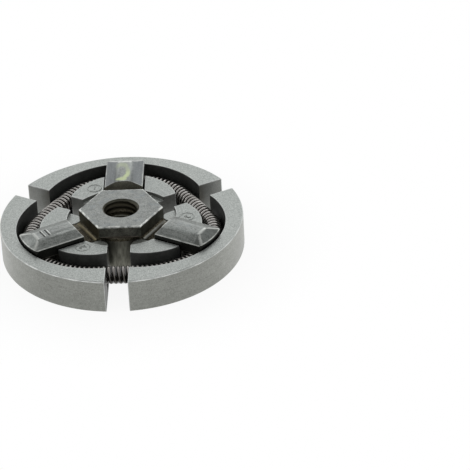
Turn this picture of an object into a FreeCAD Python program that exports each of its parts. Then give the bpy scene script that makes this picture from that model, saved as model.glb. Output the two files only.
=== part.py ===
"""Centrifugal clutch: a threaded hub with three arms, three sliding shoes and one garter spring.

Millimetres. +Z is the hub's axis and points out of the hexagon's face. The origin is the centre
of the hub's back face. The arms and the shoes stand at 90, 210 and 330 degrees about Z, and the
gaps between the shoes at 30, 150 and 270 degrees. Each shoe and each arm is built along +X, its
own outward direction, and then turned to its place.
"""
import FreeCAD, Part
import Mesh
import math
import os

# how many, and where the first arm stands
arm_count = 3
first_arm_angle = 90.0
hexagon_sides = 6

# hub
bore_radius = 5.2               # minor radius of the thread
thread_depth = 0.8              # the bore's mouths are chamfered out by this
barrel_radius = 12.75
hexagon_across_flats = 24.0
hexagon_bottom = 10.8
hexagon_height = 3.9
hexagon_edge_chamfer = 0.25
arm_width = 12.8
arm_eave_height = 12.75
arm_ridge_width = 4.4
arm_roof_rise = 1.7             # from eave to ridge
arm_hip_length = 3.9            # how far before the arm its ridge ends
arm_corner_radius = 1.5
arm_edge_softness = 0.45        # rounding of the forged eaves
arm_ridge_softness = 7.0        # rounding of the two long ridges
arm_hip_softness = 1.5          # rounding of the hips and the ridge's end
foot_fillet = 1.2               # where the hexagon's flats run into the arms

# shoes
shoe_outer_radius = 40.0        # friction face
shoe_height = 11.3
shoe_edge_chamfer = 0.3
shoe_gap = 7.4                  # width of the gap between two shoes
rim_thickness = 4.7             # between drum face and groove, at the arm
rim_inner_arc_offset = 8.1      # the groove's outer wall is an arc about a point out along the arm
web_outer_arc_offset = 10.0     # its inner wall, the web's back, is one about this point
groove_floor = 2.7              # thickness of the floor under the spring

# turned recess for a socket, through the tops of the arms and the webs
socket_room = 4.15              # from the hexagon's corners to the recess wall
recess_below_hexagon = 0.9

# spring
wire_diameter = 1.0
coil_diameter = 5.9             # outside
coil_spacing = 1.56             # from one coil to the next, before the ring is closed
spring_arc_offset = 8.3         # the spring's arcs are rounder than the webs, about this point
sections_per_coil = 8
sides_of_wire = 6

# clearances
guide_clearance = 0.45          # arm to guide slot, on each side
seat_clearance = 0.3            # end of the arm to the rim's inner wall
barrel_clearance = 0.95         # barrel to the inner ends of the webs
spring_clearance = 0.35         # spring to floor, arm and the middle of the web's back
spring_outer_room = 1.05        # spring to the groove's outer wall, at the arm

# worked out from the sizes above
arm_turn = 360.0 / arm_count
half_turn = math.radians(arm_turn / 2)
hexagon_top = hexagon_bottom + hexagon_height
hexagon_corner_radius = hexagon_across_flats / 2 / math.cos(math.pi / hexagon_sides)
recess_radius = hexagon_corner_radius + socket_room
recess_floor = hexagon_bottom - recess_below_hexagon
guide_half_width = arm_width / 2 + guide_clearance
groove_width = spring_clearance + coil_diameter + spring_outer_room
rim_inner_arc_radius = shoe_outer_radius - rim_thickness - rim_inner_arc_offset
web_outer_arc_radius = shoe_outer_radius - rim_thickness - groove_width - web_outer_arc_offset
web_inner_radius = barrel_radius + barrel_clearance
ridge_height = arm_eave_height + arm_roof_rise
arm_end_arc_radius = rim_inner_arc_radius - seat_clearance
arm_end = rim_inner_arc_offset + arm_end_arc_radius
arm_ridge_end = arm_end - arm_hip_length
spring_centre_height = groove_floor + spring_clearance + coil_diameter / 2
arm_underside = spring_centre_height + coil_diameter / 2 + spring_clearance
spring_middle = web_outer_arc_offset + web_outer_arc_radius + spring_clearance + coil_diameter / 2
spring_arc_radius = spring_middle - spring_arc_offset
spring_arc = spring_arc_radius * 2 * half_turn
spring_run = 2 * spring_arc_offset * math.sin(half_turn)
coil_radius = (coil_diameter - wire_diameter) / 2
coil_count = round(arm_count * (spring_arc + spring_run) / coil_spacing)
coil_pitch = arm_count * (spring_arc + spring_run) / coil_count

# lengths for cutting tools, and how close two places count as the same
past = 1.0
tall = 2 * hexagon_top
wide = 3 * shoe_outer_radius
same = 0.01

UP = FreeCAD.Vector(0, 0, 1)
ORIGIN = FreeCAD.Vector(0, 0, 0)


def disc(radius, low, high, out=0.0):
    """A cylinder about Z, from low to high, moved out along +X."""
    return Part.makeCylinder(radius, high - low, FreeCAD.Vector(out, 0, low), UP)


def block(inner, outer, half_width, low, high):
    """A box that lies evenly about the X axis, from inner to outer along it."""
    corner = FreeCAD.Vector(inner, -half_width, low)
    return Part.makeBox(outer - inner, 2 * half_width, high - low, corner)


def around(degrees, distance=1.0):
    """The point at a distance from the origin, in a direction counted from +X."""
    angle = math.radians(degrees)
    return FreeCAD.Vector(math.cos(angle), math.sin(angle), 0) * distance


def turned(shape, degrees):
    """A copy turned about Z."""
    copy = shape.copy()
    copy.rotate(ORIGIN, UP, degrees)
    return copy


def loop_face(points):
    """A flat face whose outline runs through the points and back to the first."""
    return Part.Face(Part.makePolygon(points + points[:1]))


def upright_edges(shape, distance):
    """The upright edges of a shape that stand at one distance from the axis."""
    found = []
    for edge in shape.Edges:
        box = edge.BoundBox
        if box.ZLength < same or box.XLength > same or box.YLength > same:
            continue
        if abs(math.hypot(box.Center.x, box.Center.y) - distance) < same:
            found.append(edge)
    return found


def sector():
    """The space of one shoe: a wedge whose sides are parallel to the middles of its two gaps."""
    apex = FreeCAD.Vector(shoe_gap / 2 / math.sin(half_turn), 0, 0)
    right = apex + around(-arm_turn / 2, wide)
    left = apex + around(arm_turn / 2, wide)
    return loop_face([apex, right, left]).extrude(UP * shoe_height)


def guide_slot():
    """The space that an arm's neck needs in its shoe."""
    end = web_outer_arc_offset + web_outer_arc_radius + guide_clearance
    return block(0, end, guide_half_width, -past, tall)


def web_tip():
    """Where the side of a gap would meet the side of a guide slot: out along +X and to its side."""
    out = (shoe_gap / 2 + guide_half_width * math.cos(half_turn)) / math.sin(half_turn)
    return FreeCAD.Vector(out, guide_half_width, 0)


def gap_side_length():
    """How far the web's side at the gap runs, from that tip to the web's back."""
    tip = web_tip() - FreeCAD.Vector(web_outer_arc_offset, 0, 0)
    along = tip.dot(around(arm_turn / 2))
    return math.sqrt(along ** 2 + web_outer_arc_radius ** 2 - tip.Length ** 2) - along


def web_end_radius():
    """Radius of the round that touches both those sides and just clears the barrel.

    It is no larger than the web's side at the gap has room for.
    """
    tip = web_tip()
    to_centre = 1 / math.sin(half_turn / 2)
    inward = tip.dot(around(math.degrees(half_turn / 2)))
    square = to_centre ** 2 - 1
    linear = to_centre * inward - web_inner_radius
    constant = tip.Length ** 2 - web_inner_radius ** 2
    round_end = (math.sqrt(linear ** 2 - square * constant) - linear) / square
    return min(round_end, gap_side_length() * math.tan(half_turn / 2) - same)


def web():
    """The inner part of a shoe: two stout halves with round ends, one each side of the arm."""
    body = disc(web_outer_arc_radius, 0, shoe_height, web_outer_arc_offset)
    body = body.common(sector()).cut(guide_slot())
    return body.makeFillet(web_end_radius(), upright_edges(body, web_tip().Length))


def rim():
    """The outer part of a shoe, with its rounded back to the drum and a hollow groove wall."""
    ring = disc(shoe_outer_radius, 0, shoe_height)
    ring = ring.makeChamfer(shoe_edge_chamfer, ring.Edges)
    return ring.cut(disc(rim_inner_arc_radius, -past, tall, rim_inner_arc_offset))


def shoe():
    """One shoe along +X: rim, web and the floor that joins them under the spring."""
    floor = disc(rim_inner_arc_radius + same, 0, groove_floor, rim_inner_arc_offset)
    floor = floor.cut(disc(web_outer_arc_radius - same, -past, tall, web_outer_arc_offset))
    outer = rim().fuse(floor).common(sector()).cut(guide_slot())
    recess = disc(recess_radius, recess_floor, tall)
    return outer.fuse(web()).cut(recess).removeSplitter()


def roof():
    """The space under an arm's roof: a flat ridge, two side slopes and a hipped outer end."""
    drop = ridge_height - arm_underside
    side_slope = arm_roof_rise / (arm_width / 2 - arm_ridge_width / 2)
    end_slope = arm_roof_rise / arm_hip_length
    ridge_side = arm_ridge_width / 2
    low_end = arm_ridge_end + drop / end_slope
    low_side = ridge_side + drop / side_slope
    low = [(0, -low_side), (low_end, -low_side), (low_end, low_side), (0, low_side)]
    high = [(0, -ridge_side), (arm_ridge_end, -ridge_side), (arm_ridge_end, ridge_side), (0, ridge_side)]
    low = [FreeCAD.Vector(x, y, arm_underside) for x, y in low]
    high = [FreeCAD.Vector(x, y, ridge_height) for x, y in high]
    faces = [loop_face(low), loop_face(high)]
    for here in range(len(low)):
        after = (here + 1) % len(low)
        faces.append(loop_face([low[here], low[after], high[after], high[here]]))
    return Part.makeSolid(Part.makeShell(faces))


def roof_edges(shape, low, high):
    """The edges of an arm's roof, off the hub's axis, whose tops lie between two heights."""
    found = []
    for edge in shape.Edges:
        box = edge.BoundBox
        if box.XMax > same and box.ZMin > arm_underside + same and low <= box.ZMax <= high:
            found.append(edge)
    return found


def arm_head():
    """The outer part of an arm, above the spring: roofed, with rounded corners and soft edges."""
    body = block(0, wide, arm_width / 2, arm_underside, tall)
    body = body.common(disc(arm_end_arc_radius, 0, tall, rim_inner_arc_offset))
    reach = rim_inner_arc_offset + math.sqrt(arm_end_arc_radius ** 2 - (arm_width / 2) ** 2)
    corners = upright_edges(body, math.hypot(reach, arm_width / 2))
    body = body.makeFillet(arm_corner_radius, corners).common(roof())
    ridges = [edge for edge in roof_edges(body, ridge_height - same, tall) if edge.BoundBox.XMin < same]
    body = body.makeFillet(arm_ridge_softness, ridges)
    half_way_up = ridge_height - arm_roof_rise / 2
    high_edges = roof_edges(body, half_way_up, tall)
    hips = [edge for edge in high_edges if edge.BoundBox.XMin > arm_ridge_end - same]
    body = body.makeFillet(arm_hip_softness, hips)
    return body.makeFillet(arm_edge_softness, roof_edges(body, arm_underside, half_way_up))


def arm():
    """One arm along +X: a neck between the halves of the web, and the head over the spring."""
    neck = block(0, wide, arm_width / 2, 0, arm_underside)
    neck = neck.common(disc(web_outer_arc_radius, 0, tall, web_outer_arc_offset))
    return arm_head().fuse(neck).cut(disc(recess_radius, recess_floor, tall))


def foot_room():
    """The space of the recess over an arm's inner end, along +X, from the hexagon's flat outwards."""
    room = block(hexagon_across_flats / 2, wide, arm_width / 2, recess_floor, hexagon_bottom)
    return room.common(disc(recess_radius, 0, tall))


def foot():
    """The hollow fillet where a flat of the hexagon runs down into an arm, along +X."""
    flat = hexagon_across_flats / 2
    top = recess_floor + foot_fillet
    bar = block(flat - past, flat + foot_fillet, arm_width / 2, recess_floor, top)
    start = FreeCAD.Vector(flat + foot_fillet, -arm_width, top)
    hollow = Part.makeCylinder(foot_fillet, 2 * arm_width, start, FreeCAD.Vector(0, 1, 0))
    return bar.cut(hollow)


def hexagon():
    """The hexagon head, with a flat towards each arm and its top edge broken."""
    step = 360.0 / hexagon_sides
    corners = []
    for number in range(hexagon_sides):
        corners.append(around(first_arm_angle + step * (number + 1 / 2), hexagon_corner_radius))
    prism = loop_face(corners).extrude(UP * hexagon_top)
    edges = [edge for edge in prism.Edges if edge.BoundBox.ZMin > hexagon_top - same]
    prism = prism.makeChamfer(hexagon_edge_chamfer, edges)
    return prism.cut(disc(wide, -past, hexagon_bottom))


def bore():
    """The hole through the hub, with a chamfered mouth at each end."""
    mouth_radius = bore_radius + thread_depth
    top_start = FreeCAD.Vector(0, 0, hexagon_top - thread_depth)
    hole = disc(bore_radius, -past, tall)
    hole = hole.fuse(Part.makeCone(mouth_radius, bore_radius, thread_depth))
    return hole.fuse(Part.makeCone(bore_radius, mouth_radius, thread_depth, top_start, UP))


def hub():
    """Barrel, hexagon and arms in one piece, with the bore through it."""
    body = disc(barrel_radius, 0, hexagon_bottom).fuse(hexagon())
    for number in range(arm_count):
        angle = first_arm_angle + arm_turn * number
        body = body.cut(turned(foot_room(), angle))
        body = body.fuse(turned(arm(), angle)).fuse(turned(foot(), angle))
    return body.cut(bore()).removeSplitter()


def spring_line(share):
    """Point and outward direction of the spring's centre line, at a share of its length.

    The line is an arc round each shoe's web, joined by a straight run across each gap.
    """
    number, rest = divmod(share * arm_count * (spring_arc + spring_run), spring_arc + spring_run)
    shoe_angle = first_arm_angle + arm_turn * number
    past_arc = max(rest - spring_arc, 0)
    on_arc = min(rest / spring_arc, 1)
    outward = around(shoe_angle - arm_turn / 2 + arm_turn * on_arc)
    centre = around(shoe_angle, spring_arc_offset) + UP * spring_centre_height
    return centre + outward * spring_arc_radius + UP.cross(outward) * past_arc, outward


def wire_section(number):
    """The corners of the wire's section at one step along the coils, which wind to the right."""
    point, outward = spring_line(number / (coil_count * sections_per_coil))
    turn = 2 * math.pi * number / sections_per_coil
    radial = outward * math.cos(turn) - UP * math.sin(turn)
    sideways = outward * -math.sin(turn) - UP * math.cos(turn)
    tangent = sideways * (2 * math.pi * coil_radius) + UP.cross(outward) * coil_pitch
    across = tangent.normalize().cross(radial)
    corners = []
    for side in range(sides_of_wire):
        angle = 2 * math.pi * side / sides_of_wire
        offset = radial * math.cos(angle) + across * math.sin(angle)
        corners.append(point + radial * coil_radius + offset * (wire_diameter / 2))
    return corners


def garter_spring():
    """The closed coil spring, its wire made of short flat-sided stretches."""
    step_count = coil_count * sections_per_coil
    sections = [wire_section(number) for number in range(step_count)]
    triangles = []
    for number in range(step_count):
        here = sections[number]
        ahead = sections[(number + 1) % step_count]
        for side in range(sides_of_wire):
            after = (side + 1) % sides_of_wire
            triangles.append([here[side], here[after], ahead[after]])
            triangles.append([here[side], ahead[after], ahead[side]])
    shell = Part.Shape()
    shell.makeShapeFromMesh(Mesh.Mesh(triangles).Topology, same * same)
    return Part.makeSolid(shell)


os.makedirs("parts", exist_ok=True)
pieces = {"hub": hub(), "garter_spring": garter_spring()}
for shoe_number in range(arm_count):
    shoe_name = "shoe_" + str(shoe_number + 1)
    pieces[shoe_name] = turned(shoe(), first_arm_angle + arm_turn * shoe_number)

for name, shape in pieces.items():
    shape.exportStep("parts/" + name + ".step")
    print(name, "valid", shape.isValid(), "solids", len(shape.Solids), "volume", round(shape.Volume, 1))
print("spring line", round(coil_pitch * coil_count, 1), "coils", coil_count, "pitch", round(coil_pitch, 3))
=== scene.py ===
# %% [markdown]
# # A centrifugal clutch, dressed in Blender
#
# A small engine's clutch has a steel hub with three arms, three heavy shoes that slide out on
# the arms when the engine turns fast, and one ring-shaped spring that pulls them back.
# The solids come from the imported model, at their real size. This lesson gives them what the
# solids leave out: the thread, softened edges, a round wire, struck and cast marks, and a finish
# for every surface.

# %% Load the frame
import bpy
import bmesh
import math
from mathutils import Matrix, Vector


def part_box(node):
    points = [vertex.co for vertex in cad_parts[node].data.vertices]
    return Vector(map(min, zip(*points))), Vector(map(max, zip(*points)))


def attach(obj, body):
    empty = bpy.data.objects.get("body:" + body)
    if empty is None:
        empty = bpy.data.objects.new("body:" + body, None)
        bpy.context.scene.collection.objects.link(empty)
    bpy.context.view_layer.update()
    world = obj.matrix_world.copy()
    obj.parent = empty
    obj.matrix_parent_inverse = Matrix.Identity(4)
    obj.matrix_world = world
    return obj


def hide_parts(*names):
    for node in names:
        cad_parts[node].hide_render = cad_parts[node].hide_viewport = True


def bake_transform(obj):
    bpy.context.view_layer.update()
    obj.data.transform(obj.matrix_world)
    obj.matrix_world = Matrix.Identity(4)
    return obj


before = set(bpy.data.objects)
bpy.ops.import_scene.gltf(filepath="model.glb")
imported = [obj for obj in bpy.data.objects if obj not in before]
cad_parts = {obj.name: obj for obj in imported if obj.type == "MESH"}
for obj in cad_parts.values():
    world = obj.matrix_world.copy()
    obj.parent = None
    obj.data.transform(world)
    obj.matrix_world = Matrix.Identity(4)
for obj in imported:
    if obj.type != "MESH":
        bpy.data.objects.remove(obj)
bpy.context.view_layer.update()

# %% [markdown]
# ## Sizes
#
# Everything is in metres here, so a millimetre gets a name. Heights and radii that the solids
# already have are read from their boxes. The others are the same real sizes that the solids
# were built from: the curves of the groove, the slots and the spring.

# %% Sizes that several steps share
mm = 0.001
weld_distance = 0.001 * mm           # points that lie nearer than this become one
flat_degrees = 0.5                   # facets that turn less than this are one flat face
sharp_degrees = 35                   # an edge that turns more than this stays crisp
hub_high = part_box("hub")[1]
shoe_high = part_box("shoe_1")[1]
spring_low, spring_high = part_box("garter_spring")

shoe_count = 3
first_shoe = 90                      # degrees, the direction of the first arm and shoe
shoe_turn = 360 / shoe_count         # degrees from one shoe to the next
shoe_to_gap = math.radians(shoe_turn / 2)       # from a shoe's middle to a gap's middle
hexagon_top = hub_high.z
shoe_top = shoe_high.z
drum_radius = shoe_high.y
arm_half_width = 6.4 * mm
ridge_half_width = 2.2 * mm
ridge_height = 14.45 * mm
ridge_end = 31.1 * mm
hexagon_flat = 12.0 * mm
arm_end_radius = 26.9 * mm           # of its outer end, about the same point as the rim's wall
recess_radius = 18.006 * mm
barrel_radius = 12.75 * mm
foot_radius = 1.2 * mm               # of the fillet between the hexagon and an arm
foot_axis = (13.2 * mm, 11.1 * mm)   # out along the arm, and height
slot_half_width = 6.85 * mm
gap_half_width = 3.7 * mm
rim_wall_radius = 27.2 * mm
rim_wall_offset = 8.1 * mm
web_wall_radius = 18.0 * mm
web_wall_offset = 10.0 * mm
spring_arc_radius = 23.0 * mm
spring_arc_offset = 8.3 * mm
print("shoes", round(2 * drum_radius / mm, 1), "mm across,", round(hexagon_top / mm, 1), "mm high")

# %% [markdown]
# ## Small tools for edit mode
#
# An operator works on whatever is selected, and loading leaves the solids selected. So each step
# first selects one object alone, and then picks points by where they lie.

# %% Selecting
def only(piece):
    """Selects one object alone and makes it the active one."""
    bpy.ops.object.select_all(action="DESELECT")
    piece.select_set(True)
    bpy.context.view_layer.objects.active = piece
    return piece


def active():
    """The object that operators act on, such as a new primitive."""
    return bpy.context.view_layer.objects.active


def select_points(wanted):
    """In edit mode, selects the points whose place passes a test, and no others."""
    mesh = bmesh.from_edit_mesh(active().data)
    for point in mesh.verts:
        point.select = wanted(point.co)
    mesh.select_flush_mode()


# %% [markdown]
# A solid's mesh comes as loose triangles. Its copy is welded to one closed skin first, and the
# triangles of each flat face are joined, because a modifier works on the edges that are left. What
# repeats is modelled once and copied, each copy with a mesh of its own.

# %% Closed skins and copies
def weld():
    """In edit mode, makes one point of those that lie in one place."""
    bpy.ops.mesh.select_all(action="SELECT")
    bpy.ops.mesh.remove_doubles(threshold=weld_distance)


def face_outwards():
    """In edit mode, turns every face of a closed skin outwards."""
    bpy.ops.mesh.select_all(action="SELECT")
    bpy.ops.mesh.normals_make_consistent(inside=False)


def twin(piece, name):
    """Another object, with its own copy of a piece's mesh."""
    copy = bpy.data.objects.new(name, piece.data.copy())
    copy.data.name = name
    bpy.context.scene.collection.objects.link(copy)
    return copy


def merged_copy(node, name):
    """A copy of a solid's mesh as one closed skin, with its flat faces whole."""
    piece = only(twin(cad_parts[node], name))
    bpy.ops.object.mode_set(mode="EDIT")
    weld()
    bpy.ops.mesh.dissolve_limited(angle_limit=math.radians(flat_degrees))
    bpy.ops.object.mode_set(mode="OBJECT")
    return piece


# %% Modifiers and places
def apply(piece, kind, **settings):
    """Adds one modifier with its settings and applies it."""
    only(piece)
    modifier = piece.modifiers.new(kind.lower(), kind)
    for key, value in settings.items():
        setattr(modifier, key, value)
    bpy.ops.object.modifier_apply(modifier=modifier.name)


def boolean(piece, tool, operation):
    """Cuts a tool out of a piece, or unites the two, and clears the tool away."""
    apply(piece, "BOOLEAN", object=tool, operation=operation, solver="EXACT")
    bpy.data.objects.remove(tool)


def settle(piece):
    """Puts a piece's place, turn and scale into its mesh."""
    only(piece)
    bpy.ops.object.transform_apply(location=True, rotation=True, scale=True)


# %% [markdown]
# The clutch repeats itself three times round its axis. So a place is given along and across an
# arm, and one function turns it to where that arm points.

# %% Places along an arm, and a report on a mesh
def arm_angle(number):
    """The direction of one arm and its shoe, counted from zero, in radians."""
    return math.radians(first_shoe + shoe_turn * number)


def arm_place(number, along, across, height):
    """The point that lies along and across one arm or shoe."""
    angle = arm_angle(number)
    x = along * math.cos(angle) - across * math.sin(angle)
    y = along * math.sin(angle) + across * math.cos(angle)
    return Vector((x, y, height))


def report(piece):
    """Prints how large a mesh is, and how many edges of it are open."""
    mesh = bmesh.new()
    mesh.from_mesh(piece.data)
    open_edges = sum(not edge.is_manifold for edge in mesh.edges)
    triangles = sum(len(face.verts) - 2 for face in mesh.faces)
    volume = mesh.calc_volume() / mm ** 3
    print(piece.name, triangles, "triangles,", open_edges, "open edges,", round(volume, 1), "mm3")
    mesh.free()


# %% [markdown]
# ## The hub's thread
#
# The bore carries an M12 thread with a pitch of 1.75 mm. A thread is one V that climbs round the
# axis. The V is half of a diamond: a circle of four corners, stood upright, without the corner
# that points to the axis. The Screw modifier sweeps it into a ribbed rod, and the rod is cut out
# of the hub, as a tap would cut it. The rod's core is a little thinner than the plain bore, so
# that a flat crest is left between two grooves, as on a real thread.

# %% A rod with the thread's shape
thread_pitch = 1.75 * mm
thread_core = 5.05 * mm
thread_root = 6.0 * mm
thread_overrun = 1.0 * mm            # how far the rod stands out of both mouths
thread_steps = 64
thread_turns = math.ceil((hexagon_top + 4 * thread_overrun) / thread_pitch)

bpy.ops.object.select_all(action="DESELECT")
bpy.ops.mesh.primitive_circle_add(vertices=4, radius=1, fill_type="NOTHING",
                                  rotation=(math.pi / 2, 0, 0))
thread_rod = active()
thread_rod.name = "thread_rod"
thread_rod.scale = (thread_root - thread_core, thread_pitch / 2, 1)
thread_rod.location = (thread_core, 0, thread_pitch / 2 - 2 * thread_overrun)
settle(thread_rod)
bpy.ops.object.mode_set(mode="EDIT")
select_points(lambda place: place.x < thread_core - weld_distance)
bpy.ops.mesh.delete(type="VERT")
bpy.ops.object.mode_set(mode="OBJECT")
apply(thread_rod, "SCREW", axis="Z", angle=math.tau, screw_offset=thread_pitch,
      iterations=thread_turns, steps=thread_steps, render_steps=thread_steps)

bpy.ops.object.mode_set(mode="EDIT")
weld()
for height, outer in ((-thread_overrun, False), (hexagon_top + thread_overrun, True)):
    bpy.ops.mesh.select_all(action="SELECT")
    bpy.ops.mesh.bisect(plane_co=(0, 0, height), plane_no=(0, 0, 1), use_fill=True,
                        clear_inner=not outer, clear_outer=outer, threshold=weld_distance)
weld()
bpy.ops.mesh.fill_holes(sides=0)
face_outwards()
bpy.ops.object.mode_set(mode="OBJECT")
report(thread_rod)

# %% Tap the hub
hub_forging = merged_copy("hub", "hub_forging")
boolean(hub_forging, thread_rod, "DIFFERENCE")
report(hub_forging)

# %% [markdown]
# ## Two struck strokes
#
# The ridge of the left arm has two short strokes struck across it with a chisel. A chisel leaves
# a V-shaped groove with sharp ends. A cube becomes the chisel's edge when its lower face is
# scaled to nearly nothing in one direction, and each stroke is cut by a copy of it.

# %% Chisel and strokes
marked_arm = 1
stroke_places = (28.7 * mm, 26.9 * mm)
stroke_length = 4.3 * mm
stroke_width = 0.62 * mm
stroke_depth = 0.5 * mm
chisel_tip = (0.02, 0.9, 1)          # the tip's width and length, as shares of the chisel's

bpy.ops.object.select_all(action="DESELECT")
bpy.ops.mesh.primitive_cube_add(size=1)
chisel = active()
bpy.ops.object.mode_set(mode="EDIT")
select_points(lambda place: place.z < 0)
bpy.ops.transform.resize(value=chisel_tip)
bpy.ops.object.mode_set(mode="OBJECT")
chisel.scale = (2 * stroke_width, stroke_length, 2 * stroke_depth)
chisel.rotation_euler = (0, 0, arm_angle(marked_arm))
settle(chisel)

for along in stroke_places:
    stroke = twin(chisel, "stroke")
    stroke.location = arm_place(marked_arm, along, 0, ridge_height)
    settle(stroke)
    boolean(hub_forging, stroke, "DIFFERENCE")
bpy.data.objects.remove(chisel)
print(len(stroke_places), "strokes,", round(stroke_depth / mm, 2), "mm deep")

# %% [markdown]
# A round face of the solids comes as narrow flat facets. Smooth shading guesses the normals between
# them, and guesses badly beside a cut. The true normals are known, since the barrel, the recess
# and the fillets are plain cylinders, so they are written down instead.

# %% Smooth and exact shading
def smooth(piece, degrees=sharp_degrees):
    """Rounds the shading over shallow edges, keeps the others crisp and large faces flat."""
    only(piece)
    bpy.ops.object.shade_smooth_by_angle(angle=math.radians(degrees))
    apply(piece, "WEIGHTED_NORMAL", mode="FACE_AREA_WITH_ANGLE", weight=100, keep_sharp=True)


def shade_exactly(piece, true_normal):
    """Gives facets of known round surfaces the surface's own normals, so that they shade evenly."""
    mesh = piece.data
    normals = [Vector(corner.vector) for corner in mesh.corner_normals]
    for face in mesh.polygons:
        true = [true_normal(mesh.vertices[index].co, face.normal) for index in face.vertices]
        if None not in true:
            for corner, normal in zip(face.loop_indices, true):
                normals[corner] = normal
    mesh.normals_split_custom_set(normals)


# %% Shade the hub's round faces
near_face = 0.02 * mm                # how near a round face a point is that lies on it
same_side = 0.97                     # least cosine between a facet and its true normal


def hub_normal(point, facing):
    """The true normal at a point of the barrel, of a recess wall or of a foot's fillet."""
    outward = Vector((point.x, point.y, 0)).normalized()
    candidates = []
    for radius, normal in ((barrel_radius, outward), (recess_radius, -outward)):
        if abs(math.hypot(point.x, point.y) - radius) < near_face:
            candidates.append(normal)
    for number in range(shoe_count):
        along = arm_place(number, 1, 0, 0)
        inward = along * (foot_axis[0] - point.dot(along)) + Vector((0, 0, foot_axis[1] - point.z))
        if abs(inward.length - foot_radius) < near_face:
            candidates.append(inward.normalized())
    for normal in candidates:
        if normal.dot(facing) > same_side:
            return normal
    return None


smooth(hub_forging)
shade_exactly(hub_forging, hub_normal)
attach(hub_forging, "hub")
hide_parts("hub")
report(hub_forging)

# %% [markdown]
# ## Shoes with soft edges and a cast mark
#
# A shoe is pressed or cast, so its edges are never sharp: each catches a thin line of light.
# The Bevel modifier rounds every edge that turns sharply. On one half of each web stands the mark
# of the mould: a small ring with the plain number of its cavity.
# The ring is a torus sunk to its middle, and the number is a text that is made a mesh first.

# %% Cast mark
edge_softness = 0.16 * mm            # how wide the rounding of each edge is
edge_steps = 2
mark_along = 19.2 * mm
mark_across = 9.9 * mm
ring_radius = 2.3 * mm
ring_thickness = 0.17 * mm
ring_steps = 48
ring_sides = 10
number_height = 3.3 * mm
number_relief = 0.16 * mm
curve_steps = 4                      # straight pieces of each curve of a number


def cast_mark(number):
    """Ring and number on one shoe's web, each as a tool that is united with the shoe."""
    place = arm_place(number, mark_along, mark_across, shoe_top)
    turn = arm_angle(number) - math.pi / 2      # a text stands upright along +Y
    bpy.ops.object.select_all(action="DESELECT")
    bpy.ops.mesh.primitive_torus_add(major_radius=ring_radius, minor_radius=ring_thickness,
                                     major_segments=ring_steps, minor_segments=ring_sides,
                                     location=place)
    ring = active()
    bpy.ops.object.select_all(action="DESELECT")
    bpy.ops.object.text_add(location=place, rotation=(0, 0, turn))
    digit = active()
    digit.data.body = str(number + 1)
    digit.data.size = number_height
    digit.data.extrude = number_relief
    digit.data.align_x = "CENTER"
    digit.data.align_y = "CENTER"
    digit.data.resolution_u = curve_steps
    bpy.ops.object.convert(target="MESH")
    only(digit)
    bpy.ops.object.mode_set(mode="EDIT")
    weld()
    face_outwards()
    bpy.ops.object.mode_set(mode="OBJECT")
    for part in (ring, digit):
        settle(part)
    return ring, digit


# %% Three shoes
shoes = []
for number in range(shoe_count):
    node = "shoe_" + str(number + 1)
    shoe = merged_copy(node, node + "_casting")
    apply(shoe, "BEVEL", width=edge_softness, segments=edge_steps, limit_method="ANGLE",
          angle_limit=math.radians(sharp_degrees))
    for part in cast_mark(number):
        boolean(shoe, part, "UNION")
    smooth(shoe)
    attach(shoe, node)
    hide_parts(node)
    report(shoe)
    shoes.append(shoe)

# %% [markdown]
# ## The garter spring
#
# The spring is one closed ring, a tight coil of round wire. Round each web it follows an arc, and
# across each gap it runs straight. When the shoes slide out, each carries its own stretch with it,
# and the spring stretches across the gaps. So the ring is modelled as six half stretches, each from
# the middle of a shoe to the middle of a gap.
#
# The coil is made straight first: a round wire section is swept by the Screw modifier, like the
# thread. Then the Curve modifier lays it along its half stretch. Twenty whole turns fill a half
# stretch, so that every piece starts where the last one ended.

# %% A straight coil
wire_radius = 0.5 * mm
coil_radius = (spring_high.z - spring_low.z) / 2 - wire_radius
spring_height = (spring_high.z + spring_low.z) / 2
half_run = spring_arc_offset * math.sin(shoe_to_gap)        # the straight part of a half stretch
half_length = spring_arc_radius * shoe_to_gap + half_run
half_turns = 20                      # turns of wire that fill it
coil_pitch = half_length / half_turns
coil_steps = 28
wire_sides = 12
print("coil pitch", round(coil_pitch / mm, 3), "mm, half stretch", round(half_length / mm, 2), "mm")

bpy.ops.object.select_all(action="DESELECT")
bpy.ops.mesh.primitive_circle_add(vertices=wire_sides, radius=wire_radius, fill_type="NOTHING",
                                  location=(0, 0, coil_radius), rotation=(math.pi / 2, 0, 0))
straight_coil = active()
straight_coil.name = "straight_coil"
settle(straight_coil)
apply(straight_coil, "SCREW", axis="X", angle=math.tau, screw_offset=coil_pitch,
      iterations=half_turns, steps=coil_steps, render_steps=coil_steps)
bpy.ops.object.mode_set(mode="EDIT")
weld()
bpy.ops.mesh.select_all(action="DESELECT")
bpy.ops.mesh.select_non_manifold()
bpy.ops.mesh.edge_face_add()
face_outwards()
bpy.ops.object.mode_set(mode="OBJECT")
report(straight_coil)


# %% The path of a half stretch
path_steps = 48                      # straight pieces of its arc


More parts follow.
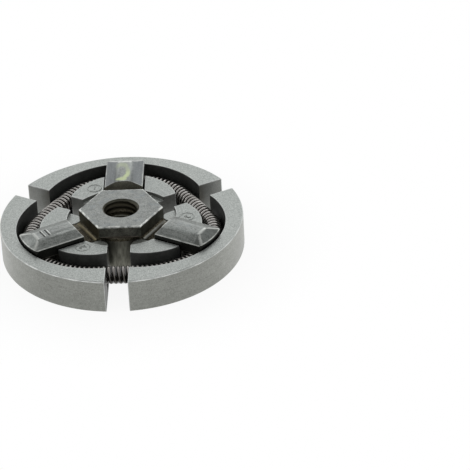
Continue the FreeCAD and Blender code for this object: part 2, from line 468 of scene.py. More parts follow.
def half_path(number, after):
    """A curve along the spring, from shoe middle to gap middle or the other way round."""
    shoe_angle = arm_angle(number)
    middle = arm_place(number, spring_arc_offset, 0, spring_height)
    sweep = [shoe_to_gap * step / path_steps for step in range(path_steps + 1)]
    angles = sweep if after else [angle - shoe_to_gap for angle in sweep]
    points = []
    for angle in angles:
        outward = Vector((math.cos(shoe_angle + angle), math.sin(shoe_angle + angle), 0))
        points.append(middle + outward * spring_arc_radius)
    end_angle = shoe_angle + (shoe_to_gap if after else -shoe_to_gap)
    onward = Vector((-math.sin(end_angle), math.cos(end_angle), 0))
    if after:
        points.append(points[-1] + onward * half_run)
    else:
        points.insert(0, points[0] - onward * half_run)
    curve = bpy.data.curves.new("half_path", "CURVE")
    curve.dimensions = "3D"
    curve.twist_mode = "Z_UP"
    line = curve.splines.new("POLY")
    line.points.add(len(points) - 1)
    for point, place in zip(line.points, points):
        point.co = (*place, 1)
    path = bpy.data.objects.new("half_path", curve)
    bpy.context.scene.collection.objects.link(path)
    tangent_point = points[-2] if after else points[1]
    gap_middle = points[-1] if after else points[0]
    return path, tangent_point, gap_middle


# %% Six half stretches
wire_sharp_degrees = 60              # the wire's skin is round, and only its cut ends are crisp

springs = []
for number in range(shoe_count):
    for after in (True, False):
        shoe_name = "shoe_" + str(number + 1)
        side = "after" if after else "before"
        stretch = twin(straight_coil, "spring_" + shoe_name + "_" + side)
        path, tangent_point, gap_middle = half_path(number, after)
        apply(stretch, "CURVE", object=path, deform_axis="POS_X")
        bpy.data.objects.remove(path)
        smooth(stretch, wire_sharp_degrees)
        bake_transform(stretch)
        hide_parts("garter_spring")
        springs.append(stretch)
bpy.data.objects.remove(straight_coil)
report(springs[0])

# %% [markdown]
# ## Finishes as sums
#
# A finish that varies over a surface is a sum of masks: how far a point is from an edge, how deep
# in the groove it lies, how a fine noise runs there. In the node editor each plus and minus is
# a Math node. Here a small class wraps a socket, so that a sum is written as a sum, and one
# method adds every other kind of node.

# %% Sockets that can be added and multiplied
class Value:
    """A socket of a finish. A sum with it adds the Math nodes that work the sum out."""

    def __init__(self, finish, socket):
        self.finish = finish
        self.socket = socket

    def math(self, operation, *values):
        """Adds a Math node that works on some values."""
        inputs = dict(enumerate(values))
        return self.finish.node("ShaderNodeMath", {"operation": operation}, inputs)

    def output(self, name):
        """Another output of the same node."""
        return Value(self.finish, self.socket.node.outputs[name])

    def __add__(self, other):
        return self.math("ADD", self, other)

    def __sub__(self, other):
        return self.math("SUBTRACT", self, other)

    def __rsub__(self, other):
        return self.math("SUBTRACT", other, self)

    def __mul__(self, other):
        return self.math("MULTIPLY", self, other)

    def __truediv__(self, other):
        return self.math("DIVIDE", self, other)

    def __pow__(self, other):
        return self.math("POWER", self, other)

    def __abs__(self):
        return self.math("ABSOLUTE", self)

    __radd__ = __add__
    __rmul__ = __mul__


def least(first, *others):
    """The smallest of several values."""
    for other in others:
        first = first.math("MINIMUM", first, other)
    return first


def most(first, *others):
    """The largest of several values."""
    for other in others:
        first = first.math("MAXIMUM", first, other)
    return first


# %% The nodes of a finish
class Finish:
    """The nodes of a material, or of the world, in the making."""

    first_color, second_color, mixed_color = 6, 7, 2       # sockets of a Mix node for colours
    oil_roughness = 0.35

    def __init__(self, owner):
        self.owner = owner
        self.owner.use_nodes = True
        self.tree = self.owner.node_tree
        self.tree.nodes.clear()

    def node(self, kind, settings=None, inputs=None, output=0):
        """Adds a node, sets it, then gives its sockets their values or links."""
        node = self.tree.nodes.new(kind)
        for key, value in (settings or {}).items():
            setattr(node, key, value)
        for key, value in (inputs or {}).items():
            if isinstance(value, Value):
                self.tree.links.new(value.socket, node.inputs[key])
            else:
                node.inputs[key].default_value = value
        return Value(self, node.outputs[output]) if node.outputs else None

    def rise(self, value, low, high):
        """0 up to low and 1 from high, with a smooth rise between them."""
        inputs = {"Value": value, "From Min": low, "From Max": high}
        return self.node("ShaderNodeMapRange", {"interpolation_type": "SMOOTHSTEP"}, inputs)

    def fall(self, value, low, high):
        """1 up to low and 0 from high, with a smooth fall between them."""
        return 1 - self.rise(value, low, high)

    def noise(self, place, size, detail, roughness):
        """Cloudy noise around 0, from about -1 to 1, whose blots have a size in millimetres."""
        inputs = {"Vector": place, "Scale": 1 / size, "Detail": detail, "Roughness": roughness}
        return self.node("ShaderNodeTexNoise", {}, inputs) * 2 - 1

    def streaks(self, x, y, z, size, detail, roughness):
        """Noise over three values of its own, so that it can be drawn out in one direction."""
        place = self.node("ShaderNodeCombineXYZ", {}, {0: x, 1: y, 2: z})
        return self.noise(place, size, detail, roughness)

    def mix(self, first, second, share):
        """The first colour with a share of the second."""
        inputs = {0: share, self.first_color: first, self.second_color: second}
        settings = {"data_type": "RGBA", "clamp_factor": True}
        return self.node("ShaderNodeMix", settings, inputs, output=self.mixed_color)

    def metal(self, color, roughness, normal, metallic=1.0, oil=0.0):
        """The shader that ends a metal's finish, with a share of it under a thin coat of oil."""
        inputs = {"Base Color": color, "Roughness": roughness, "Normal": normal,
                  "Metallic": metallic, "Coat Weight": oil, "Coat Roughness": self.oil_roughness}
        shader = self.node("ShaderNodeBsdfPrincipled", {}, inputs, output="BSDF")
        self.node("ShaderNodeOutputMaterial", {}, {"Surface": shader})
        return self.owner

    def bump(self, height, strength, depth):
        """Bump whose height counts in millimetres times depth."""
        inputs = {"Height": height, "Strength": strength, "Distance": depth * mm}
        return self.node("ShaderNodeBump", {}, inputs, output="Normal")


# %% Where a point lies, in millimetres
class Place:
    """Place of a surface point: from the axis, above the floor, and along and across its arm."""

    def __init__(self, finish):
        metres = finish.node("ShaderNodeTexCoord", output="Object")
        self.point = finish.node("ShaderNodeVectorMath", {"operation": "SCALE"},
                                 {0: metres, "Scale": 1 / mm})
        split = finish.node("ShaderNodeSeparateXYZ", {}, {0: self.point}, output="X")
        self.x, self.y, self.z = split, split.output("Y"), split.output("Z")
        self.radius = (self.x * self.x + self.y * self.y) ** 0.5
        self.angle = self.x.math("ARCTAN2", self.y, self.x)
        self.along, self.across = self.folded(math.radians(first_shoe), math.radians(shoe_turn))
        normal = finish.node("ShaderNodeNewGeometry", output="True Normal")
        self.facing_up = finish.node("ShaderNodeSeparateXYZ", {}, {0: normal}, output="Z")

    def folded(self, start, turn):
        """Places along and across the nearest of several directions that are one turn apart."""
        angle = self.angle.math("WRAP", self.angle - start, turn / 2, -turn / 2)
        return self.radius * angle.math("COSINE", angle), self.radius * angle.math("SINE", angle)

    def from_point(self, along):
        """Distance from the upright line through a point out along the arm."""
        out = self.along - along
        return (out * out + self.across * self.across) ** 0.5


# %% [markdown]
# ## Shoes: a top painted light, walls and groove painted as shade
#
# A shoe is dense sintered iron, a dull, slightly green grey with an even grain. Its top is painted
# palest, as painted light from above. The drum face is painted darker, the ends and inner walls
# darker still, and the groove nearly black, all as painted shade. Every edge is a little brighter,
# from wear and from a painted highlight.
# The distance to the nearest edge is the larger of the distances to its two faces, so the edges
# need only the formulas of the faces.

# %% Distances on a shoe
on_wall = (0.05, 0.2)                # how near a wall a point is that lies on it, in millimetres


class ShoePlace(Place):
    """Place on a shoe, with masks for its surfaces and distances to its edges, in millimetres."""

    def __init__(self, finish):
        super().__init__(finish)
        across = abs(self.across)
        to_top = shoe_top / mm - self.z
        to_gap = self.along * math.sin(shoe_to_gap) - across * math.cos(shoe_to_gap)
        to_gap = to_gap - gap_half_width / mm
        to_drum = drum_radius / mm - self.radius
        to_rim_wall = self.from_point(rim_wall_offset / mm) - rim_wall_radius / mm
        to_web_back = web_wall_radius / mm - self.from_point(web_wall_offset / mm)
        rim_side = least(to_drum, to_gap, to_rim_wall)
        web_side = least(to_gap, to_web_back, self.radius - recess_radius / mm,
                         across - slot_half_width / mm)
        rim_edge = least(most(to_top, rim_side), most(to_drum, to_gap), most(to_drum, self.z))
        web_edge = least(most(to_top, web_side), most(to_gap, to_web_back))
        self.in_rim = finish.rise(to_rim_wall, -0.4, -0.2)
        self.to_edge = web_edge + (rim_edge - web_edge) * self.in_rim
        self.to_drum_edge = most(to_top, to_drum)
        self.in_groove = finish.fall(to_rim_wall, *on_wall) * finish.fall(to_web_back, *on_wall)
        self.flat = finish.rise(self.facing_up, 0.3, 0.7)
        self.on_drum = finish.fall(to_drum, 0.2, 0.4) * (1 - self.flat)


# %% [markdown]
# A cast surface is never one colour. Each kind of face gets a darkest and a palest tone, and a sum
# of noises says where between the two a point lies. Which tones a face gets is painted light and
# shade: the top lit, and the walls, the drum face and the groove shaded. Painted shade on the rims'
# ends near the groove, and bright edges of wear and painted highlight, come on top of that.

# %% Tones of the shoes
shaded_wall_tones = (0.13, 0.134, 0.124, 1), (0.27, 0.278, 0.262, 1)
shaded_drum_tones = (0.23, 0.237, 0.215, 1), (0.435, 0.445, 0.415, 1)
lit_top_tones = (0.275, 0.30, 0.285, 1), (0.655, 0.685, 0.66, 1)
shaded_groove_tones = (0.050, 0.053, 0.051, 1), (0.14, 0.145, 0.138, 1)
rim_end_shade_tone = (0.085, 0.078, 0.062, 1)
rubbed_and_lit_iron = (0.72, 0.74, 0.73, 1)
drum_edge_highlight_tone = (0.93, 0.95, 0.93, 1)
paleness = lit_top_tones[1][1] / shaded_drum_tones[1][1]
print("a shoe's top is", round(paleness, 1), "times as pale as its drum face")


# %% Finish of the shoes
def dress(piece, material):
    """Gives a piece one finish all over."""
    piece.data.materials.clear()
    piece.data.materials.append(material)


def shoe_finish():
    """Dense iron: a top painted light, a drum face, walls and groove painted as shade, and edges
    painted bright.
    """
    finish = Finish(bpy.data.materials.new("shoe_iron_finish"))
    place = ShoePlace(finish)
    speck = finish.noise(place.point, 0.34, 1, 0.5)
    grain = finish.noise(place.point, 0.8, 3, 0.65)
    cloud = finish.noise(place.point, 5.0, 3, 0.6)
    texture = speck * 0.75 + grain * 0.5
    scratches = finish.streaks(place.x * 0.2, place.y * 0.2, place.z * 1.6, 1.0, 4, 0.7)

    # The tones of the walls, the drum face, the top and the groove are painted light and shade: the
    # top lit, the rest shaded.
    wall = finish.mix(*shaded_wall_tones, texture * 0.5 + cloud * 0.6 + 0.5)
    # Painted shade on the rims' end faces, darkest near the groove.
    rim_end_shade = finish.rise(place.radius, 28.5, 29.5) * finish.fall(place.radius - cloud * 5, 30, 35)
    wall = finish.mix(wall, rim_end_shade_tone, rim_end_shade * 0.7)
    drum = finish.mix(*shaded_drum_tones, texture * 0.85 + scratches * 0.4 + cloud * 0.2 + 0.5)
    top = finish.mix(*lit_top_tones, texture + cloud * 0.15 + place.in_rim * 0.1 + 0.37)
    groove = finish.mix(*shaded_groove_tones, texture * 0.4 + cloud * 0.5 + 0.5)
    color = finish.mix(wall, drum, place.on_drum)
    color = finish.mix(color, top, place.flat)
    color = finish.mix(color, groove, place.in_groove)

    # Every edge is brighter: wear, and a painted highlight along it.
    rubbed_and_lit = finish.fall(place.to_edge + grain * 0.12 + cloud * 0.08, 0.12, 0.42)
    rubbed_and_lit = rubbed_and_lit * (cloud * 0.9 + 0.6) * (1 - place.in_groove * 0.8)
    color = finish.mix(color, rubbed_and_lit_iron, rubbed_and_lit)
    # A painted highlight along the drum face's top edge, weaker at the left and right.
    drum_edge_highlight = finish.fall(place.to_drum_edge + grain * 0.1, 0.2, 0.5)
    drum_edge_highlight = drum_edge_highlight * finish.rise(cloud + scratches * 0.6, -0.3, 0.2)
    drum_edge_highlight = drum_edge_highlight * (1 - finish.rise(abs(place.x), 28, 37) * 0.8)
    color = finish.mix(color, drum_edge_highlight_tone, drum_edge_highlight * 0.85)
    roughness = 0.50 + grain * 0.06 + cloud * 0.04 - rubbed_and_lit * 0.12 + place.in_groove * 0.1
    normal = finish.bump(texture + cloud * 0.6, 0.6, 0.02)
    return finish.metal(color, roughness, normal, oil=(1 - place.in_groove) * 0.5)


shoe_material = shoe_finish()
for shoe in shoes:
    dress(shoe, shoe_material)
print(shoe_material.name, len(shoe_material.node_tree.nodes), "nodes")

# %% [markdown]
# ## Hub: forged arms, turned hexagon, oily below, and painted light and shade
#
# The arms keep the smooth grey skin of the forging. It is streaked along the arm. Its ridges are
# painted light and its slopes painted darker as shade, and the end of the third arm is painted
# shade. The hips and eaves are rubbed bright and painted as highlights. The hexagon's top is turned
# and mottled, with a thin white line round its edge that breaks off here and there, both wear and a
# painted highlight. The upright faces were never ground and stay a dark olive brown, and the arms'
# sides under the eaves are painted shade. Oil has crept to the foot of the hexagon and dried there.

# %% Places on the hub
class HubPlace(Place):
    """Place on the hub, with masks for its surfaces, distances to its edges, and its noises."""

    def __init__(self, finish):
        super().__init__(finish)
        side_along, self.side_across = self.folded(math.radians(first_shoe), math.pi / 3)
        across = abs(self.across)
        self.below_top = hexagon_top / mm - self.z
        self.flat = finish.rise(self.facing_up, 0.25, 0.6)
        past_recess = self.radius - recess_radius / mm
        self.in_recess = finish.fall(past_recess, 0.02, 0.1)
        self.on_top = finish.fall(self.below_top, 0.2, 0.35)
        self.on_top = self.on_top * finish.rise(self.radius - thread_root / mm, 0, 0.1)
        self.on_arm = (1 - self.in_recess) * self.flat
        self.to_side_edge = most(abs(hexagon_flat / mm - side_along), self.below_top)
        past_ridge = self.along - ridge_end / mm
        off_ridge = across - ridge_half_width / mm
        to_hip = abs(past_ridge * 1.08 - off_ridge) * 0.7
        to_hip = to_hip + finish.fall(past_ridge, -0.2, 0.5) * 9
        to_end = abs(past_ridge) + finish.rise(off_ridge, 0, 0.6) * 9
        self.to_ridge = least(to_hip, to_end)
        side_eave = arm_half_width / mm - across
        end_eave = arm_end_radius / mm - self.from_point(rim_wall_offset / mm)
        self.to_eave = abs(least(side_eave, end_eave, past_recess) - 0.15)
        self.speck = finish.noise(self.point, 0.42, 1, 0.5)
        self.grain = finish.noise(self.point, 0.9, 3, 0.65)
        self.cloud = finish.noise(self.point, 3.0, 3, 0.6)
        self.texture = self.speck * 0.8 + self.grain * 0.6

    def towards(self, number):
        """How far out a point lies in the direction of one arm."""
        angle = arm_angle(number)
        return self.x * math.cos(angle) + self.y * math.sin(angle)


# %% Colour of the arms
lit_ridge_tones = (0.21, 0.227, 0.22, 1), (0.48, 0.505, 0.485, 1)
shaded_slope_tones = (0.14, 0.149, 0.14, 1), (0.34, 0.358, 0.34, 1)
bluish_slope = (0.195, 0.21, 0.227, 1)
ridge_highlight_tone = (0.56, 0.585, 0.575, 1)
shaded_end_tone = (0.115, 0.125, 0.118, 1)


def arm_color(finish, place):
    """Forged skin with long streaks: ridges painted light and slopes painted as shade, bluish
    slopes and a painted highlight on the ridge of the first arm, and painted shade on the third
    arm's end.
    """
    texture, cloud = place.texture, place.cloud
    streak = finish.streaks(place.across * 2.2, place.along * 0.3, 0.0, 1.6, 3, 0.6)
    # The ridge's tones are painted light and the slopes' tones painted shade.
    ridge = finish.mix(*lit_ridge_tones, texture * 0.8 + cloud * 0.6 + streak * 0.6 + 0.5)
    slope = finish.mix(*shaded_slope_tones, streak * 0.8 + texture * 0.9 + cloud * 0.3 + 0.5)
    off_ridge = finish.rise(abs(place.across), 1.8, 3.4)
    color = finish.mix(ridge, slope, off_ridge * 0.8)
    on_first = finish.rise(place.towards(0), 14, 16)
    color = finish.mix(color, bluish_slope, off_ridge * on_first * 0.6)
    # A painted highlight along the first arm's ridge.
    color = finish.mix(color, ridge_highlight_tone, (1 - off_ridge) * on_first * (streak * 0.5 + 0.4))
    # Painted shade on the third arm's end slope.
    shaded_third_end = finish.rise(place.along, ridge_end / mm, ridge_end / mm + 0.6)
    shaded_third_end = shaded_third_end * finish.rise(place.towards(2), 24, 27)
    return finish.mix(color, shaded_end_tone, shaded_third_end * (texture * 0.7 + cloud * 0.4 + 0.72))


# %% Colour of the hexagon's top
turned_tones = (0.17, 0.177, 0.172, 1), (0.43, 0.45, 0.432, 1)
blue_blot = (0.25, 0.285, 0.31, 1)
pale_arc = (0.46, 0.475, 0.46, 1)
dark_speck = (0.06, 0.062, 0.055, 1)


def hexagon_color(finish, place):
    """Turned face with bluish and pale blots, dark specks and faint arcs."""
    blots = finish.noise(place.point, 2.2, 4, 0.7)
    color = finish.mix(*turned_tones, place.texture * 0.8 + blots * 0.55 + 0.5)
    color = finish.mix(color, blue_blot, finish.rise(place.cloud, 0.0, 0.35) * 0.35)
    arcs = place.radius.math("SINE", place.radius * 5.2 + place.cloud * 4)
    color = finish.mix(color, pale_arc, finish.rise(arcs + blots, 0.9, 1.3) * 0.25)
    specks = finish.rise(finish.noise(place.point, 0.75, 1, 0.5), 0.42, 0.55)
    return finish.mix(color, dark_speck, specks * 0.55)


# %% [markdown]
# Below the hexagon each surface has its own dirt, and painted shade. Dust lies on the shelf under
# the flats, painted dark as shade as well. Oil has dried in a brown strip along the foot of one
# arm; along the foot of another the strip is a pale painted highlight on the fillet, and above each
# foot is a thin stain. The bore is darker below a paler mouth, down to its thread. The barrel has
# upright streaks, as oil runs down it.

# %% Colour of the faces that were never ground
dark_tones = (0.040, 0.040, 0.033, 1), (0.17, 0.17, 0.145, 1)
barrel_tones = (0.06, 0.06, 0.048, 1), (0.20, 0.20, 0.168, 1)
dust_and_shade_tones = (0.030, 0.027, 0.017, 1), (0.16, 0.145, 0.105, 1)
recess_wall_tone = (0.70, 0.70, 0.61, 1)
bore_tone = (0.040, 0.037, 0.026, 1)
mouth_tone = (0.13, 0.13, 0.105, 1)
under_eave_shade_tone = (0.030, 0.031, 0.028, 1)
brown_oil = (0.31, 0.27, 0.165, 1), (0.125, 0.105, 0.062, 1)     # thick, and as a thin stain
# On the third arm the strip is a pale painted highlight on the fillet; the thin olive stain above
# it is real.
fillet_highlight_and_stain = (0.44, 0.45, 0.42, 1), (0.155, 0.155, 0.125, 1)
oiled_and_lit_feet = (1, 1, brown_oil), (2, -1, fillet_highlight_and_stain)    # arm, side of it where the strip is strongest, tones of the strip and the stain
foot_strip_line = 12.95                     # how far out along the arm the strip lies, in millimetres


def dark_color(finish, place):
    """Olive brown uprights, a dark bore with a paler mouth, a streaked barrel, painted shade on the
    shelf and under the eaves, and a strip at each arm's foot, of oil at one and a painted highlight
    at the other.
    """
    texture, cloud, below = place.texture, place.cloud, place.below_top
    upright = 1 - place.flat
    color = finish.mix(*dark_tones, texture * 0.6 + cloud * 0.7 + 0.45)
    recess_wall = finish.rise(place.radius - recess_radius / mm, -0.3, -0.2)
    recess_wall = recess_wall * place.in_recess * upright
    recess_wall = recess_wall * (texture * 0.4 + cloud * 0.4 + 0.75)
    color = finish.mix(color, recess_wall_tone, recess_wall)
    # The bore is darker below a paler mouth.
    in_bore = finish.fall(place.radius - thread_root / mm, 0, 0.15)
    color = finish.mix(color, bore_tone, in_bore)
    mouth = in_bore * finish.fall(below, 0.5, 0.8) * (cloud * 0.8 + 0.4)
    color = finish.mix(color, mouth_tone, mouth)
    streak = finish.streaks(place.angle * 14, 0.0, place.z * 0.25, 1.2, 3, 0.6)
    barrel = finish.mix(*barrel_tones, streak + cloud * 0.5 + 0.5)
    color = finish.mix(color, barrel, finish.rise(below, 4.8, 5.4) * upright)

    # The shelf under the flats has dust on it and is painted dark as shade.
    below_flat = finish.rise(below, 3.4, 4.2) * place.in_recess * finish.fall(below, 5.0, 5.2)
    dust_and_shade = finish.mix(*dust_and_shade_tones, place.speck * 1.3 + place.grain * 0.6 + 0.42)
    color = finish.mix(color, dust_and_shade, below_flat)
    for number, strong_side, (oil_and_highlight, stain) in oiled_and_lit_feet:
        out = place.towards(number)
        strip = finish.fall(abs(out - foot_strip_line), 0.25, 0.6)
        strip = strip * (finish.rise(place.across * strong_side, -7, 4) * 0.6 + 0.4)
        # A strip along each foot: dried brown oil on one arm, a painted highlight on the other.
        color = finish.mix(color, oil_and_highlight, strip * below_flat * (cloud * 0.8 + 0.8))
        stained = upright * finish.rise(out, 11.6, 11.9) * place.in_recess
        stained = stained * finish.fall(below, 3.4, 3.9)
        color = finish.mix(color, stain, stained * (cloud * 0.5 + 0.5))
    # Painted shade on the arms' upright sides under the eaves.
    under_eave_shade = (1 - place.in_recess) * upright * finish.fall(below, 5.0, 5.4)
    return finish.mix(color, under_eave_shade_tone, under_eave_shade)


# %% [markdown]
# Wear and painted highlights come last, because they cut through every other layer. A mask of
# either is a distance to an edge with some noise added, so that the bright line has a ragged
# border, times a cloud that breaks it off in places. The bright lines on the hips, the eaves and
# round the hexagon's top are wear and painted highlight together. The dab of checking paint lies on
# top of all.

# %% Struck strokes with painted shade and highlight, and worn edges with painted highlights
stroke_shade_tone = (0.035, 0.036, 0.03, 1)
worn_and_lit_steel = (0.82, 0.84, 0.80, 1)


def struck(finish, place):
    """Painted shade in the two struck strokes, and a painted highlight on one wall of each."""
    out = place.towards(marked_arm)
    # The bottom of each stroke is painted dark as shade.
    inside = least(*[abs(out - along / mm) for along in stroke_places])
    beside = least(*[abs(out - along / mm + 0.5) for along in stroke_places])
    on_ridge = finish.fall(abs(place.across), 1.8, 2.1)
    # A painted highlight on one wall of each stroke.
    stroke_highlight = finish.fall(beside + place.grain * 0.1, 0.06, 0.22) * on_ridge * 0.8
    return finish.fall(inside, 0.12, 0.3) * on_ridge, stroke_highlight


def edge_wear_and_highlights(finish, place, stroke_highlight):
    """Scuffed hips and eaves, and the broken line round the hexagon's top, also painted as
    highlights, with the painted highlight in each stroke.
    """
    grain, cloud = place.grain, place.cloud
    # Each of these bright lines is wear and a painted highlight.
    hips = finish.fall(place.to_ridge + grain * 0.3 + cloud * 0.25, 0.1, 0.8)
    hips = hips * (cloud * 0.8 + 0.62)
    eaves = finish.fall(place.to_eave + grain * 0.2, 0.03, 0.24) * (cloud * 0.9 + 0.5)
    rubbed_and_lit = most(hips, eaves, stroke_highlight) * place.on_arm
    corner = finish.rise(abs(place.side_across), 4.8, 6.8)
    broken = finish.rise(finish.noise(place.point, 1.7, 3, 0.6) + corner * 0.35, -0.25, 0.3)
    line = finish.fall(place.to_side_edge + grain * 0.35, 0.24, 0.66)
    return most(rubbed_and_lit * 0.9, line * broken * 0.85)


# %% The painted highlight on the hexagon's lower edge, and the dab of paint
low_edge_highlight_tone = (0.30, 0.25, 0.225, 1)
low_edge_depth = 3.8                 # of the hexagon's lower edge under its top, in millimetres
paint_tone = (0.75, 0.86, 0.49, 1)
paint_blob = (-0.8, 19.5, 2.1, 1.1)  # its middle and its half axes, in millimetres
paint_curl = (-1.0, 24.4, 2.3, 4.8)


def low_edge_highlight(finish, place):
    """A painted highlight on the hexagon's lower edge, on the three flats that no arm meets."""
    on_side = (1 - place.flat) * finish.rise(place.radius - hexagon_flat / mm, -0.2, -0.05)
    on_side = on_side * finish.fall(place.along, 11.0, 11.6)
    to_edge = abs(place.below_top - low_edge_depth)
    return on_side * finish.fall(to_edge + place.grain * 0.1, 0.05, 0.2)


def paint_dab(finish, place):
    """How much of the checking paint covers a point: a blob, and a curl that fades out."""
    def spread(x, y, half_width, half_length):
        """Distance from a point, in half axes of an ellipse round it."""
        aside = (place.x - x) / half_width
        ahead = (place.y - y) / half_length
        return (aside * aside + ahead * ahead) ** 0.5

    ragged = place.cloud + place.grain * 0.5
    blob = finish.fall(spread(*paint_blob) + ragged * 0.5, 0.7, 1.15)
    curl = finish.fall(abs(spread(*paint_curl) - 1) + ragged * 0.2, 0.1, 0.42)
    curl = curl * finish.rise(place.x + place.y * 0.25, 3.4, 5.4)
    curl = curl * (1 - finish.rise(place.y, 22.5, 26.5) * 0.7)
    return most(blob, curl) * 0.85 * place.on_arm


# %% Finish of the hub
def hub_finish():
    """Forged and turned steel, oily below, with painted shade there and on the arms, edges painted
    bright, and a dab of paint.
    """
    finish = Finish(bpy.data.materials.new("hub_steel_finish"))
    place = HubPlace(finish)
    inside, stroke_highlight = struck(finish, place)
    worn_and_lit = edge_wear_and_highlights(finish, place, stroke_highlight)
    paint = paint_dab(finish, place)
    color = dark_color(finish, place)
    color = finish.mix(color, arm_color(finish, place), place.on_arm)
    color = finish.mix(color, hexagon_color(finish, place), place.on_top)
    color = finish.mix(color, stroke_shade_tone, inside * place.on_arm * 0.85)
    color = finish.mix(color, worn_and_lit_steel, worn_and_lit)
    # A painted highlight along the hexagon's lower edge.
    color = finish.mix(color, low_edge_highlight_tone, low_edge_highlight(finish, place) * 0.6)
    color = finish.mix(color, paint_tone, paint)
    roughness = 0.44 + place.grain * 0.08 + place.cloud * 0.06 - worn_and_lit * 0.1
    normal = finish.bump(place.texture + place.cloud * 1.4, 0.6, 0.022)
    return finish.metal(color, roughness, normal, metallic=1 - paint)


hub_material = hub_finish()
dress(hub_forging, hub_material)
print(hub_material.name, len(hub_material.node_tree.nodes), "nodes")

# %% [markdown]
# ## Spring: drawn wire with a brown skin
#
# Spring wire is drawn smooth and then tempered, which leaves a thin brown-grey skin. It is the
# glossiest part of the clutch: each turn shows a sharp line of light, and a painted highlight
# brightens the top of each turn's crest. The sides and the inner side of the coil are painted dark
# as shade, and in the front gap all but the top of each turn is painted shade.

# %% Finish of the spring
drawn_tones = (0.48, 0.455, 0.425, 1), (0.92, 0.90, 0.87, 1)
wire_shade_tones = (0.028, 0.025, 0.021, 1), (0.10, 0.088, 0.076, 1)


def spring_finish():
    """Drawn wire, painted bright on the crest of each turn as a highlight and dark between the
    turns as shade.
    """
    finish = Finish(bpy.data.materials.new("spring_steel_finish"))
    place = Place(finish)
    across = abs(place.across)
    cosine, sine = math.cos(shoe_to_gap), math.sin(shoe_to_gap)
    past_arc = across * cosine - (place.along - spring_arc_offset / mm) * sine
    from_arc = place.from_point(spring_arc_offset / mm) - spring_arc_radius / mm
    run = spring_arc_offset * cosine + spring_arc_radius
    from_run = place.along * cosine + across * sine - run / mm
    outward = from_arc + (from_run - from_arc) * finish.rise(past_arc, 0, 0.1)
    upward = place.z - spring_height / mm
    from_line = (outward * outward + upward * upward) ** 0.5
    # The crest is painted bright as a highlight, brightest on top, and the rest of each turn dark
    # as painted shade; in the front gap all but the top is painted shade.
    crest = finish.rise(from_line, coil_radius / mm + 0.12, coil_radius / mm + 0.48)
    front_gap = finish.fall(place.y, -27, -23)
    crest = crest * (finish.rise(upward - front_gap * 2.5, -2.0, 2.0) * 0.87 + 0.13)
    crest = crest * (1 - front_gap * 0.1)

    grain = finish.noise(place.point, 0.5, 2, 0.5)
    cloud = finish.noise(place.point, 2.5, 2, 0.5)
    drawn = finish.mix(*drawn_tones, cloud * 0.6 + grain * 0.5 + 0.5)
    wire_shade = finish.mix(*wire_shade_tones, cloud + 0.5)
    # Painted shade on the wire, with a painted highlight on the crest.
    color = finish.mix(wire_shade, drawn, crest)
    roughness = 0.42 + grain * 0.08 - crest * 0.18
    return finish.metal(color, roughness, finish.bump(grain, 0.3, 0.01))


spring_material = spring_finish()
for stretch in springs:
    dress(stretch, spring_material)
print(spring_material.name, len(spring_material.node_tree.nodes), "nodes")

# %% [markdown]
# ## Stage, light and camera
#
# The clutch lies on a plain white floor. The floor looks white to the camera and in reflections,
# but keeps part of its real shading, so that the shadow stays, and in reflections it is painted
# dimmer before the clutch, as painted shade. The camera stands where the photographer stood: far
# away with a long lens, about 31 degrees above the floor.

# %% Camera
photo_side = 470                     # in pixels
focal_pixels = 2640.1                # the focal length, in the same pixels
sensor_width = 36.0                  # in millimetres, as Blender counts it
view_elevation = math.radians(31.36)
view_azimuth = math.radians(1.95)
view_roll = math.radians(-2.86)
farthest_seen = 20                   # in metres
clutch_from_camera = Vector((-36.8, 3.685, 872.84)) * mm       # right, down and ahead

right = Vector((1, 0, 0))
ahead = Vector((0, math.cos(view_elevation), -math.sin(view_elevation)))
down = ahead.cross(right)
turned_right = right * math.cos(view_roll) - down * math.sin(view_roll)
turned_down = right * math.sin(view_roll) + down * math.cos(view_roll)
axes = Matrix((turned_right, -turned_down, -ahead)).transposed()
offset = -(turned_right * clutch_from_camera.x + turned_down * clutch_from_camera.y
           + ahead * clutch_from_camera.z)
about_z = Matrix.Rotation(view_azimuth, 4, "Z")

bpy.ops.object.select_all(action="DESELECT")
bpy.ops.object.camera_add()
camera = active()
camera.name = "photo_camera"
camera.matrix_world = about_z @ Matrix.Translation(offset) @ axes.to_4x4()
camera.data.sensor_width = sensor_width
camera.data.lens = focal_pixels * sensor_width / photo_side
camera.data.clip_end = farthest_seen
bpy.context.scene.camera = camera
print("camera at", [round(value, 3) for value in camera.matrix_world.translation])

# %% [markdown]
# The floor is one wide sheet of white paper. What it shows is part glow and part real shading.
# Under the hub and the shoes it is all real, so that no light seeps out between them, and in the
# gaps between two shoes it glows. The light is that of a white studio: bright all round, low down,
# and weaker overhead, where the photographer's ceiling is. A broad lamp behind the clutch adds the
# soft sheen on its flat tops.

# %% Floor
shadow_share = 0.1                   # of the floor's brightness near the clutch that is real
shaded_radius = 23.5 * mm            # within this it is all real, also in the gaps
shadow_radius = 75 * mm              # beyond this there is none
# Before the clutch, the floor's glow in reflections is painted weaker, as painted shade.
front_glow = 0.40                    # what the metal sees of the floor before the clutch
full_glow_places = (-42, -8)         # it grows to a full glow between these, in millimetres along Y
floor_side = 6.0                     # in metres

bpy.ops.object.select_all(action="DESELECT")
bpy.ops.mesh.primitive_plane_add(size=floor_side)
floor = active()
floor.name = "floor"

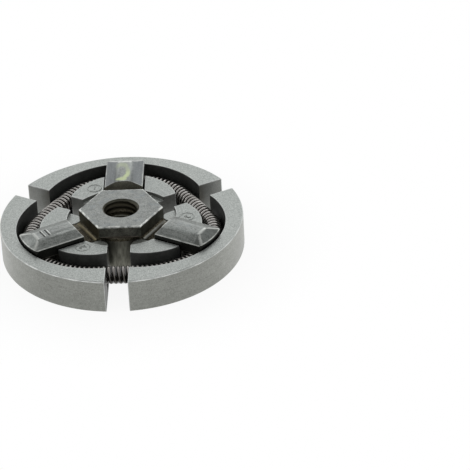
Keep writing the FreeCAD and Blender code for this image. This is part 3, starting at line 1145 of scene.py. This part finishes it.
floor_finish = Finish(bpy.data.materials.new("floor_finish"))
floor_place = Place(floor_finish)
past_drum = floor_place.radius - drum_radius / mm
past_hub = floor_place.radius - shaded_radius / mm
first_gap = math.radians(first_shoe + shoe_turn / 2)
gap_across = floor_place.folded(first_gap, math.radians(shoe_turn))[1]
in_gap = floor_finish.fall(abs(gap_across) - gap_half_width / mm, -0.1, 0.6)
beside = most(floor_finish.rise(past_drum, -3, -1), floor_finish.rise(past_hub, -1.5, 0) * in_gap)
far = floor_finish.rise(floor_place.radius, shaded_radius / mm, shadow_radius / mm)
paper = floor_finish.node("ShaderNodeBsdfDiffuse", {}, {"Color": (0.86, 0.86, 0.86, 1)})
glow = floor_finish.node("ShaderNodeEmission", {}, {"Color": (1, 1, 1, 1), "Strength": 1.0})
behind = floor_finish.rise(floor_place.y, *full_glow_places)
rays = floor_finish.node("ShaderNodeLightPath", output="Is Camera Ray")
seen = most(rays, rays.output("Is Transmission Ray"))
seen = seen * (1 - shadow_share + far * shadow_share) * beside
mirrored = rays.output("Is Glossy Ray") * (behind * (1 - front_glow) + front_glow)
mixed = floor_finish.node("ShaderNodeMixShader", {}, {0: most(seen, mirrored), 1: paper, 2: glow})
floor_finish.node("ShaderNodeOutputMaterial", {}, {"Surface": mixed})
dress(floor, floor_finish.owner)
print("floor", floor_side, "m wide, shaded for", round(shadow_radius / mm), "mm round the axis")

# %% World and lamp
low_light = 1.0
overhead_light = 0.35
low_light_top = 0.45                 # the sine of the height angle up to which the light is full
overhead_bottom = 0.8                # and of that from which it is weak
lamp_place = (0.2, 1.5, 1.2)         # behind the clutch and above it, in metres
lamp_size = 1.2
lamp_power = 1.5                     # in watts

scene = bpy.context.scene
scene.view_settings.view_transform = "Standard"
scene.world = bpy.data.worlds.new("studio")
studio = Finish(scene.world)
direction = studio.node("ShaderNodeTexCoord", output="Generated")
upward = studio.node("ShaderNodeSeparateXYZ", {}, {0: direction}, output="Z")
dimmed = studio.rise(upward, low_light_top, overhead_bottom)
light = low_light - dimmed * (low_light - overhead_light)
seen = studio.node("ShaderNodeLightPath", output="Is Camera Ray")
strength = most(light, seen)
background = studio.node("ShaderNodeBackground", {}, {"Color": (1, 1, 1, 1), "Strength": strength})
studio.node("ShaderNodeOutputWorld", {}, {"Surface": background})

bpy.ops.object.select_all(action="DESELECT")
bpy.ops.object.light_add(type="AREA", location=lamp_place)
lamp = active()
lamp.name = "broad_lamp"
lamp.data.size = lamp_size
lamp.data.energy = lamp_power
lamp.rotation_euler = (-lamp.location).to_track_quat("-Z", "Y").to_euler()
print("lamp", lamp_size, "m wide,", round(lamp.location.length, 2), "m from the clutch")
